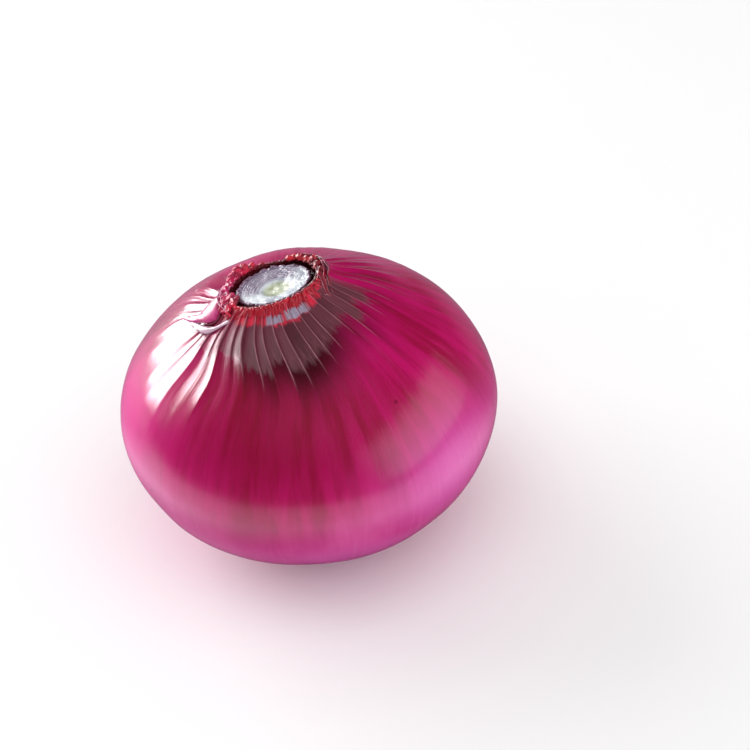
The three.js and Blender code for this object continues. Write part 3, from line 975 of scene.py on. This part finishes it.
def make_torn_edge():
    builder = bmesh.new()
    # The collar itself, fused from short overlapping lengths around the neck.
    for step in range(150):
        angle = step * 360 / 150
        tall = rim_height(angle)
        foot = rim_point(angle, 9.0, -0.75)
        crown = rim_point(angle + shred_random.uniform(-2, 2), 8.85 + 0.22 * tall, tall * 0.85)
        add_shred(builder, (foot + crown) / 2, crown - foot, (crown - foot).length + 0.6 * MM,
                  0.8 * MM, 0.65 * MM)
    # Clots on and along it, of all sizes, thickest behind and at the sides.
    for _ in range(520):
        angle = shred_random.uniform(0, 360)
        tall = rim_height(angle)
        if shred_random.random() > 0.22 + 0.55 * tall:
            continue
        thick = rim_reach(angle)
        size = shred_random.uniform(0.30, 0.85) * (0.75 + 0.3 * min(tall, 1))
        point = rim_point(angle, 8.75 + shred_random.uniform(-0.15, 1.0) * thick,
                          tall * shred_random.uniform(0.25, 1.05) + shred_random.uniform(-0.2, 0.15))
        heading = (shred_random.uniform(-1, 1), shred_random.uniform(-1, 1), shred_random.uniform(-0.2, 1.2))
        add_shred(builder, point, heading, size * 1.9 * MM, size * 0.75 * MM, size * 0.55 * MM)
    # A lumpy knob on the back left corner, and beads along the back right.
    knob = [(150, 10.2, 0.9, 1.3), (143, 10.4, 1.4, 1.9), (135, 10.3, 1.75, 2.1), (127, 10.0, 1.7, 1.9),
            (118, 9.6, 1.45, 1.3), (106, 9.2, 0.85, 0.8)]
    knob += [(68, 8.7, 1.05, 1.6), (60, 8.9, 1.35, 1.3), (49, 9.0, 1.35, 1.7), (36, 9.2, 1.40, 1.4),
             (22, 9.5, 1.35, 1.7), (7, 9.8, 1.2, 1.4), (-8, 10.0, 0.8, 1.3)]
    for angle, radius, rise, size in knob:
        ahead = rim_point(angle + 4, radius, rise) - rim_point(angle - 4, radius, rise)
        add_shred(builder, rim_point(angle, radius, rise), ahead,
                  size * 1.25 * MM, size * 0.8 * MM, size * 0.7 * MM)
    # Folded flaps that stand against the outside of the left wall.
    for _ in range(90):
        angle = shred_random.uniform(118, 214)
        lean = shred_random.uniform(0.0, 1.0)
        top = rim_point(angle, 9.7 + 0.5 * lean, rim_height(angle) * shred_random.uniform(0.5, 1.15))
        low = rim_point(angle + shred_random.uniform(-5, 5), 10.5 + 0.9 * lean,
                        -shred_random.uniform(0.6, 1.8))
        add_shred(builder, (top + low) / 2, top - low, (top - low).length * 1.1,
                  shred_random.uniform(0.35, 0.8) * MM, 0.40 * MM)
    # A fat red fold that leans in over the left end of the core, and the rolled
    # lip of a hollow shred in front of it.
    for angle, radius, rise, size in ((206, 8.3, 0.75, 1.5), (201, 7.6, 0.75, 1.3), (211, 8.8, 0.6, 1.4),
                                      (196, 8.4, 0.9, 1.3), (190, 8.0, 1.0, 1.0)):
        add_shred(builder, rim_point(angle, radius, rise), (0.9, -0.5, 0.1),
                  size * 1.3 * MM, size * MM, size * 0.75 * MM)
    for step in range(14):
        turn = step * TURN / 14
        centre = rim_point(212 + 7.5 * math.cos(turn), 10.9, -0.75 + 0.62 * math.sin(turn))
        add_shred(builder, centre, (math.cos(turn), 0.4, math.sin(turn)), 0.62 * MM, 0.42 * MM, 0.42 * MM)
    edge = fuse("torn_edge", builder, EDGE_VOXEL, 2)
    spots = np.array([v.co[:] for v in edge.data.vertices])
    normals = np.array([v.normal[:] for v in edge.data.vertices])
    rough = field(spots, 1500, 12) * 0.24 + field(spots, 3800, 13) * 0.10
    spots = spots + normals * rough[:, None] * MM
    edge.data.vertices.foreach_set("co", spots.ravel())
    edge.data.update()
    level = (spots[:, 0] - NECK_SHIFT[0]) * CUT_SLOPE[0] + (spots[:, 1] - NECK_SHIFT[1]) * CUT_SLOPE[1]
    rise = (spots[:, 2] - level) / MM - CORE_HEIGHT / MM
    spin = math.cos(NECK_TURN), math.sin(NECK_TURN)
    aside, deep = spots[:, 0] - NECK_SHIFT[0], spots[:, 1] - NECK_SHIFT[1]
    along = (aside * spin[0] + deep * spin[1]) / NECK_LENGTHEN / MM
    across = (deep * spin[0] - aside * spin[1]) / NECK_NARROW / MM
    away = np.hypot(along, across)
    turned = np.arctan2(across, along) + NECK_TURN
    # Painted shade: the inner side of the collar, facing the gap, is marked to be painted nearly black.
    inside = smooth(9.25, 8.7, away) * smooth(1.5, 0.5, rise)
    write_attribute(edge, "rise", rise)
    write_attribute(edge, "inside", inside)
    write_attribute(edge, "left_side", bump_at(turned, 172, 34))
    write_attribute(edge, "right_side", bump_at(turned, 5, 40))
    return edge


def torn_material():
    material, nodes, links, shader = new_material("torn_wet_skin")
    here = nodes.new("ShaderNodeTexCoord").outputs["Object"]
    blotches = noise_value(nodes, links, here, 620, 3, 0.6)
    grain = noise_value(nodes, links, here, 2400, 2, 0.6)
    rise = read_attribute(nodes, "rise")
    colour = mix_colours(nodes, links, remap(nodes, links, blotches, 0.36, 0.60),
                         (0.17, 0.0, 0.010), (0.68, 0.001, 0.026))
    dark_right = do_math(nodes, links, "MULTIPLY", read_attribute(nodes, "right_side"),
                         remap(nodes, links, grain, 0.62, 0.42, 0.0, 0.85))
    colour = mix_colours(nodes, links, dark_right, colour, (0.10, 0.0, 0.008))
    left_share = do_math(nodes, links, "MULTIPLY", read_attribute(nodes, "left_side"),
                         remap(nodes, links, blotches, 0.30, 0.60, 0.45, 0.95))
    colour = mix_colours(nodes, links, left_share, colour, (0.52, 0.001, 0.13))
    pale_left = do_math(nodes, links, "MULTIPLY", read_attribute(nodes, "left_side"),
                        remap(nodes, links, grain, 0.56, 0.68, 0.0, 0.5))
    colour = mix_colours(nodes, links, pale_left, colour, (0.72, 0.36, 0.56))
    # Pale pink specks painted as glints on the wet red edge: painted highlight.
    colour = mix_colours(nodes, links, remap(nodes, links, grain, 0.62, 0.78, 0, 0.32),
                         colour, (0.66, 0.22, 0.30))
    colour = mix_colours(nodes, links, remap(nodes, links, rise, -0.2, -1.6, 0, 0.45),
                         colour, (0.36, 0.0, 0.03))
    # Painted shade on the inner side of the collar, in the gap.
    colour = mix_colours(nodes, links, read_attribute(nodes, "inside"), colour, (0.10, 0.0, 0.006))
    links.new(colour, shader.inputs["Base Color"])
    links.new(remap(nodes, links, blotches, 0.3, 0.7, 0.34, 0.62), shader.inputs["Roughness"])
    shader.inputs["Coat Weight"].default_value = 0.10
    shader.inputs["Coat Roughness"].default_value = 0.14
    links.new(add_bump(nodes, links, grain, 0.4, 0.00008), shader.inputs["Normal"])
    return material


torn_edge = make_torn_edge()
torn_edge.data.materials.append(torn_material())
finish_piece(torn_edge)


# ---------------------------------------------------------------- torn fringe
# Bright red strips of the thin outer skin that still hang from the torn edge over the ribs in front. They are
# the skin's own torn tatters, stuck down by juice, and lie a little off the ribs, less towards their tips.
def catmull(knots, where):
    """A point on the smooth curve through the knots, at a knot number or between."""
    last = len(knots) - 1
    index = int(min(max(math.floor(where), 0), last - 1))
    share = where - index
    before, start = knots[max(index - 1, 0)], knots[index]
    end, after = knots[index + 1], knots[min(index + 2, last)]
    return 0.5 * (
        2 * start
        + (end - before) * share
        + (2 * before - 5 * start + 4 * end - after) * share ** 2
        + (3 * start - before - 3 * end + after) * share ** 3
    )


def leaf(name, rails, thickness=0.25, steps=36, sides=12, ruffle=0.0):
    """A thin closed leaf of skin through rails, which are lines in mm that run
    along it side by side, each with the same number of points."""
    knots = np.array(rails, float)
    along = np.linspace(0, knots.shape[1] - 1, steps)
    across = (1 - np.cos(np.linspace(0, math.pi, sides))) / 2
    lines = np.array([[catmull(rail, where) for where in along] for rail in knots])
    sheet = np.array([
        [catmull(lines[:, step], where * (len(knots) - 1)) for where in across]
        for step in range(steps)
    ])
    length_way, width_way = np.gradient(sheet, axis=0), np.gradient(sheet, axis=1)
    normal = np.cross(length_way, width_way)
    normal /= np.linalg.norm(normal, axis=-1, keepdims=True) + 1e-9
    if ruffle:
        wave = np.sin(np.arange(steps) * 1.1)[:, None] * (2 * across - 1) ** 2
        sheet = sheet + normal * ruffle * wave[..., None]
    thick = thickness / 2 * (1 - (2 * across - 1) ** 4)[None, :, None] + 0.02
    over, under = sheet + normal * thick, sheet - normal * thick
    rings = np.concatenate((over[:, ::-1], under[:, 1:-1]), axis=1)
    made = grid_object(name, rings * MM)
    offset = np.abs(2 * across - 1)
    margin = np.concatenate((offset[::-1], offset[1:-1]))
    ends = smooth(0.90, 1.0, np.linspace(0, 1, steps))[:, None]
    write_attribute(made, "margin", np.maximum(smooth(0.72, 0.97, margin)[None, :], ends))
    below = np.concatenate((np.zeros(sides), np.ones(sides - 2)))
    write_attribute(made, "below", np.tile(below, (steps, 1)))
    return made


def ribbon_rails(path, half_widths, facing):
    """Two rails either side of a path, so that the ribbon's flat side looks along facing."""
    path = np.array(path, float)
    tangent = np.gradient(path, axis=0)
    side = np.cross(tangent, np.array(facing, float))
    side /= np.linalg.norm(side, axis=1, keepdims=True)
    half = np.array(half_widths, float)[:, None]
    return [path - side * half, path, path + side * half]


def merge(name, pieces):
    """One piece out of several, with their materials and attributes."""
    for piece in bpy.context.selected_objects:
        piece.select_set(False)
    for piece in pieces:
        piece.select_set(True)
    bpy.context.view_layer.objects.active = pieces[0]
    bpy.ops.object.join()
    pieces[0].name = pieces[0].data.name = name
    return pieces[0]


def leaf_material(name, inside, low, high, edge, rough=0.22, edge_share=0.8):
    """Thin skin, mottled between low and high, with an edge colour along its margins and another inside."""
    material, nodes, links, shader = new_material(name)
    here = nodes.new("ShaderNodeTexCoord").outputs["Object"]
    blotches = noise_value(nodes, links, here, 480, 3, 0.6)
    grain = noise_value(nodes, links, here, 1900, 2, 0.6)
    colour = mix_colours(nodes, links, remap(nodes, links, blotches, 0.35, 0.65), low, high)
    colour = mix_colours(nodes, links, remap(nodes, links, grain, 0.60, 0.78, 0, 0.4), colour, edge)
    colour = mix_colours(nodes, links, read_attribute(nodes, "below"), colour, inside)
    edge_tint_share = do_math(nodes, links, "MULTIPLY", read_attribute(nodes, "margin"), edge_share)
    colour = mix_colours(nodes, links, edge_tint_share, colour, edge)
    links.new(colour, shader.inputs["Base Color"])
    links.new(remap(nodes, links, grain, 0.3, 0.7, rough, rough + 0.16), shader.inputs["Roughness"])
    shader.inputs["Coat Weight"].default_value = 0.35
    shader.inputs["Coat Roughness"].default_value = 0.10
    links.new(add_bump(nodes, links, grain, 0.3, 0.00008), shader.inputs["Normal"])
    return material


def fringe_strip(name, angle, start, length, width, lift, curl):
    """A strip that runs down the ribs from the torn edge, raised off them by lift, less towards its tip."""
    path = []
    for step in range(4):
        share = step / 3
        radius = start + length * share
        out = lift * (1 - 0.5 * share) + 0.35 * abs(curl) * 0.05 * share
        path.append(neck_point(angle + curl * share, radius, out))
    points = np.array([p[:] for p in path]) / MM
    facing = np.array((neck_point(angle, start + 1, 1) - neck_point(angle, start + 1, 0))[:])
    half = np.array((0.9, 1.0, 0.85, 0.30)) * width / 2
    return leaf(name, ribbon_rails(points, half, facing), 0.22, 9, 5)


def make_fringe():
    strips = []
    for number in range(78):
        angle = 279 + 66 * shred_random.uniform(-1, 1) * shred_random.uniform(0.35, 1)
        middle = bump_at(math.radians(angle), 279, 34)
        start, length = shred_random.uniform(8.9, 9.4), shred_random.uniform(0.4, 1.1) + 0.8 * float(middle)
        strips.append(fringe_strip("strip_%d" % number, angle, start, length,
                                   shred_random.uniform(0.22, 0.60), shred_random.uniform(0.16, 0.42),
                                   shred_random.uniform(-5, 5)))
    red = leaf_material("red_fringe", (0.40, 0.0, 0.015), (0.36, 0.0, 0.014), (0.78, 0.001, 0.045),
                        (0.80, 0.030, 0.12), 0.32, 0.30)
    for strip in strips:
        strip.data.materials.append(red)
    return merge("torn_fringe", strips)


fringe = make_fringe()
finish_piece(fringe)


# ---------------------------------------------------------------- left curl
# A lobe of the outer skin that has peeled from the torn edge and rolled over to
# the left, with a dark red hollow behind it and a thin flicked tail. A strip of
# the clear inner film has come away with it and hangs in a loop underneath.
lobe = leaf("lobe", [
    [(-15.2, 1.5, 62.2), (-17.6, 1.9, 60.9), (-19.6, 1.1, 59.9), (-21.0, 0.5, 59.0), (-22.6, 1.4, 58.1)],
    [(-15.0, 0.6, 63.6), (-17.0, 0.3, 62.8), (-18.9, -0.6, 61.6), (-20.6, -0.9, 60.1), (-22.7, 0.8, 58.8)],
    [(-15.0, -0.5, 63.9), (-16.9, -2.0, 63.1), (-18.4, -2.9, 61.8), (-20.3, -2.2, 60.3), (-22.6, 0.3, 58.9)],
    [(-15.1, -1.2, 63.5), (-16.2, -3.5, 62.6), (-17.5, -4.5, 61.3), (-19.8, -3.3, 60.1), (-22.4, -0.2, 58.7)],
    [(-15.0, -1.0, 62.9), (-15.8, -3.1, 61.9), (-17.2, -4.0, 60.7), (-19.5, -2.9, 59.5), (-22.2, 0.1, 58.2)],
], 0.3, 40, 26, 0.05)
tail = leaf("tail", [
    [(-19.4, -1.4, 60.2), (-20.9, -0.7, 59.7), (-22.4, 0.4, 58.9), (-24.0, 2.1, 58.0)],
    [(-19.6, -2.3, 60.2), (-21.2, -1.6, 59.6), (-22.7, -0.3, 58.8), (-24.3, 1.9, 57.9)],
    [(-19.6, -3.1, 59.6), (-21.3, -2.1, 59.1), (-22.7, -0.6, 58.4), (-24.2, 1.7, 57.6)],
], 0.28, 30, 10, 0.04)
hollow = leaf("hollow", [
    [(-14.6, -0.6, 63.2), (-14.5, -3.9, 62.3), (-15.5, -5.5, 61.1), (-17.3, -5.4, 60.0), (-19.2, -4.0, 59.3)],
    [(-15.1, -0.4, 61.9), (-15.1, -3.2, 61.3), (-16.0, -4.5, 60.3), (-17.5, -4.5, 59.4), (-19.2, -3.3, 58.9)],
    [(-15.6, -0.9, 62.9), (-16.0, -3.4, 62.0), (-17.0, -4.4, 61.0), (-18.4, -4.2, 60.1), (-19.8, -3.3, 59.5)],
], 0.22, 36, 16)
film = leaf("film", [
    [(-14.2, -7.1, 61.8), (-15.9, -6.8, 60.9), (-18.0, -6.5, 59.6), (-19.7, -6.1, 58.9),
     (-21.5, -3.8, 58.4), (-22.8, -1.0, 58.1), (-23.3, 0.8, 57.9)],
    [(-14.4, -6.6, 62.1), (-16.2, -6.4, 61.1), (-18.1, -6.0, 60.1), (-19.8, -5.0, 59.6),
     (-21.2, -2.9, 59.0), (-22.4, -0.8, 58.6), (-22.9, 0.7, 58.2)],
    [(-14.9, -6.1, 61.8), (-16.6, -5.9, 60.7), (-18.3, -5.2, 59.9), (-19.9, -3.6, 59.3),
     (-21.0, -1.9, 58.8), (-21.9, -0.5, 58.5), (-22.4, 0.6, 58.1)],
], 0.05, 48, 12, 0.06)
lobe.data.materials.append(leaf_material(
    "peeled_pink_skin", (0.30, 0.0, 0.03), (0.42, 0.004, 0.10), (0.60, 0.045, 0.23),
    (0.30, 0.0, 0.03), 0.34, 0.85))
tail.data.materials.append(leaf_material(
    "flicked_tail", (0.26, 0.01, 0.12), (0.48, 0.02, 0.20), (0.70, 0.20, 0.40),
    (0.86, 0.52, 0.68), 0.22, 0.6))
hollow.data.materials.append(leaf_material(
    "red_hollow", (0.14, 0.0, 0.01), (0.10, 0.0, 0.006), (0.26, 0.0, 0.012), (0.62, 0.22, 0.32), 0.35, 0.6))
film.data.materials.append(leaf_material(
    "clear_inner_film", (0.60, 0.40, 0.50), (0.84, 0.74, 0.79), (0.94, 0.91, 0.93),
    (0.28, 0.05, 0.17), 0.18, 0.9))


def wall_leaf(name, start, end, radius, lean, rise, seed):
    """A thin upright leaf of torn skin along the rim, leaning out, with a ragged top."""
    ragged = random.Random(seed)
    rails = []
    for level in range(3):
        rail = []
        for step in range(9):
            share = step / 8
            angle = start + (end - start) * share
            tall = rise * math.sin(math.pi * (0.12 + 0.76 * share)) + ragged.uniform(-0.12, 0.12) * level
            out = radius + lean * (level / 2) ** 1.4
            rail.append(rim_point(angle, out, -0.9 + (tall + 0.9) * level / 2)[:])
        rails.append(np.array(rail) / MM)
    return leaf(name, rails, 0.2, 40, 10, 0.05)


left_walls = [
    wall_leaf("left_wall_0", 150, 204, 9.7, 0.55, 1.5, 1),
    wall_leaf("left_wall_1", 156, 212, 10.3, 0.70, 1.0, 2),
    wall_leaf("left_wall_2", 160, 200, 9.1, 0.15, 1.4, 3),
]
left_walls[0].data.materials.append(leaf_material(
    "magenta_wall", (0.50, 0.26, 0.42), (0.34, 0.0, 0.05), (0.60, 0.005, 0.17),
    (0.78, 0.30, 0.48), 0.24, 0.5))
left_walls[1].data.materials.append(left_walls[0].data.materials[0])
left_walls[2].data.materials.append(leaf_material(
    "lilac_wall", (0.44, 0.28, 0.44), (0.30, 0.16, 0.28), (0.58, 0.42, 0.58), (0.50, 0.02, 0.10), 0.30, 0.5))
left_curl = merge("left_curl", [lobe, tail, hollow, film] + left_walls)
finish_piece(left_curl)


# ---------------------------------------------------------------- right curls
# Narrow strips of dry skin that split from the torn edge on the right and curled over and down the shoulder,
# dark red inside, their pale edges a painted highlight.
STRANDS = (
    # name, path in mm, half widths in mm, the way its flat side faces
    ("outer", [(5.7, 2.4, 66.4), (6.5, 1.6, 66.9), (7.2, 0.6, 66.7), (7.7, -1.5, 65.7), (8.0, -3.2, 64.6),
               (8.7, -4.5, 63.3), (9.6, -5.0, 62.5)],
     (0.2, 0.34, 0.36, 0.34, 0.30, 0.28, 0.12), (0.6, -0.5, 0.6)),
    ("middle", [(5.4, 0.4, 66.4), (5.9, -0.8, 67.2), (6.1, -1.8, 67.3), (6.7, -3.2, 66.0), (7.0, -4.6, 64.8),
                (7.7, -5.2, 63.8), (8.8, -5.3, 62.8)],
     (0.2, 0.40, 0.46, 0.44, 0.36, 0.28, 0.10), (0.3, -0.6, 0.6)),
    ("mauve", [(5.4, -1.4, 66.0), (5.8, -2.5, 66.3), (6.0, -3.6, 65.8), (6.5, -4.5, 64.9), (7.0, -5.1, 64.1)],
     (0.2, 0.34, 0.34, 0.26, 0.10), (-0.1, -0.7, 0.6)),
    ("thread", [(4.6, -3.4, 65.8), (4.4, -4.4, 66.4), (4.5, -5.1, 66.2),
                (5.4, -5.4, 65.1), (6.7, -5.1, 64.2)],
     (0.08, 0.12, 0.12, 0.11, 0.06), (0.0, -0.7, 0.7)),
    ("back", [(5.6, 4.4, 66.2), (6.6, 3.6, 66.6), (7.6, 2.4, 65.9), (8.6, 1.0, 64.7), (9.2, -0.4, 63.7)],
     (0.2, 0.36, 0.34, 0.24, 0.10), (0.8, -0.2, 0.5)),
)
# The pale edge colour of these strands is a painted highlight.
strand_skin = leaf_material(
    "split_dry_skin", (0.20, 0.0, 0.016), (0.20, 0.004, 0.034), (0.40, 0.095, 0.16),
    (0.70, 0.44, 0.50), 0.36, 0.75)
strands = []
for name, path, widths, facing in STRANDS:
    strand = leaf("strand_" + name, ribbon_rails(path, widths, facing), 0.22, 44, 9, 0.03)
    strand.data.materials.append(strand_skin)
    strands.append(strand)
right_walls = [
    wall_leaf("right_wall_0", -22, 38, 9.9, 0.50, 1.4, 4),
    wall_leaf("right_wall_1", -28, 22, 9.2, 0.20, 1.2, 5),
    wall_leaf("right_wall_2", -16, 60, 10.4, 0.60, 0.8, 6),
]
wall_skin = leaf_material(
    "dark_red_wall", (0.12, 0.0, 0.01), (0.14, 0.0, 0.010), (0.42, 0.002, 0.03),
    (0.66, 0.30, 0.38), 0.26, 0.5)
for wall in right_walls:
    wall.data.materials.append(wall_skin)
right_curls = merge("right_curls", strands + right_walls)
finish_piece(right_curls)


# ---------------------------------------------------------------- root plate
# The hard corky plate that every layer grows from, flat where it was trimmed.
# The cut stubs of the dry roots fringe it, bent flat against the base.
PLATE_RADIUS = 8.5
ROOT_COUNT = 74
ROOT_KNOTS = 4
ROOT_LOWEST = 0.45


def make_root_plate():
    side = np.arange(160) / 160 * TURN
    profile = [(9.8, 1.9), (9.6, 1.25), (9.2, 0.75), (8.9, 0.25), (PLATE_RADIUS, 0.02)]
    profile += [(PLATE_RADIUS * share, 0.0) for share in (0.94, 0.84, 0.72, 0.58, 0.44, 0.30, 0.16, 0.04)]
    rings = []
    for radius, height in profile:
        ragged = 1 + 0.012 * np.sin(side * 17 + radius) + 0.008 * np.sin(side * 41)
        rings.append(np.stack((radius * ragged * np.cos(side), radius * ragged * np.sin(side),
                               np.full_like(side, height)), -1) * MM)
    points = np.array(rings[::-1])
    return grid_object("root_plate", points)


def make_root_stubs():
    """Short dry roots around the plate, each a bent tapering thread."""
    roots = random.Random(5)
    stubs = []
    for number in range(ROOT_COUNT):
        angle = TURN * (number + roots.uniform(-0.4, 0.4)) / ROOT_COUNT
        reach = roots.uniform(1.2, 3.6)
        turn = roots.uniform(-0.35, 0.35)
        start, rise = roots.uniform(7.6, 9.0), roots.uniform(0.35, 0.9)
        knots = []
        for step in range(ROOT_KNOTS):
            share = step / (ROOT_KNOTS - 1)
            away = start + reach * share
            heading = angle + turn * share
            height = rise * (1 - 0.5 * share) + max(0.0, away - 10.5) * 0.14
            knots.append((away * math.cos(heading), away * math.sin(heading), max(height, ROOT_LOWEST)))
        thick = roots.uniform(0.16, 0.28)
        widths = [thick, thick, thick * 0.8, thick * 0.35]
        stubs.append(leaf("root_%d" % number, ribbon_rails(knots, widths, (0, 0, 1)), thick * 1.8, 10, 5))
    return merge("root_stubs", stubs)


def root_material(name, dark, light):
    material, nodes, links, shader = new_material(name)
    here = nodes.new("ShaderNodeTexCoord").outputs["Object"]
    blotches = noise_value(nodes, links, here, 300, 4, 0.65)
    pits = nodes.new("ShaderNodeTexVoronoi")
    links.new(here, pits.inputs["Vector"])
    pits.inputs["Scale"].default_value = 900
    colour = mix_colours(nodes, links, remap(nodes, links, blotches, 0.3, 0.7), dark, light)
    pit_share = remap(nodes, links, pits.outputs["Distance"], 0.35, 0.05, 0, 0.6)
    colour = mix_colours(nodes, links, pit_share, colour, (0.10, 0.055, 0.035))
    links.new(colour, shader.inputs["Base Color"])
    links.new(remap(nodes, links, blotches, 0.3, 0.7, 0.6, 0.85), shader.inputs["Roughness"])
    normal = add_bump(nodes, links, pits.outputs["Distance"], 0.6, 0.0002)
    links.new(add_bump(nodes, links, blotches, 0.4, 0.0003, normal), shader.inputs["Normal"])
    return material


root_plate = make_root_plate()
root_plate.data.materials.append(root_material("corky_root_plate", (0.20, 0.12, 0.07), (0.46, 0.33, 0.20)))
finish_piece(root_plate)
root_stubs = make_root_stubs()
root_stubs.data.materials.append(root_material("dry_roots", (0.30, 0.20, 0.11), (0.58, 0.46, 0.30)))
finish_piece(root_stubs)
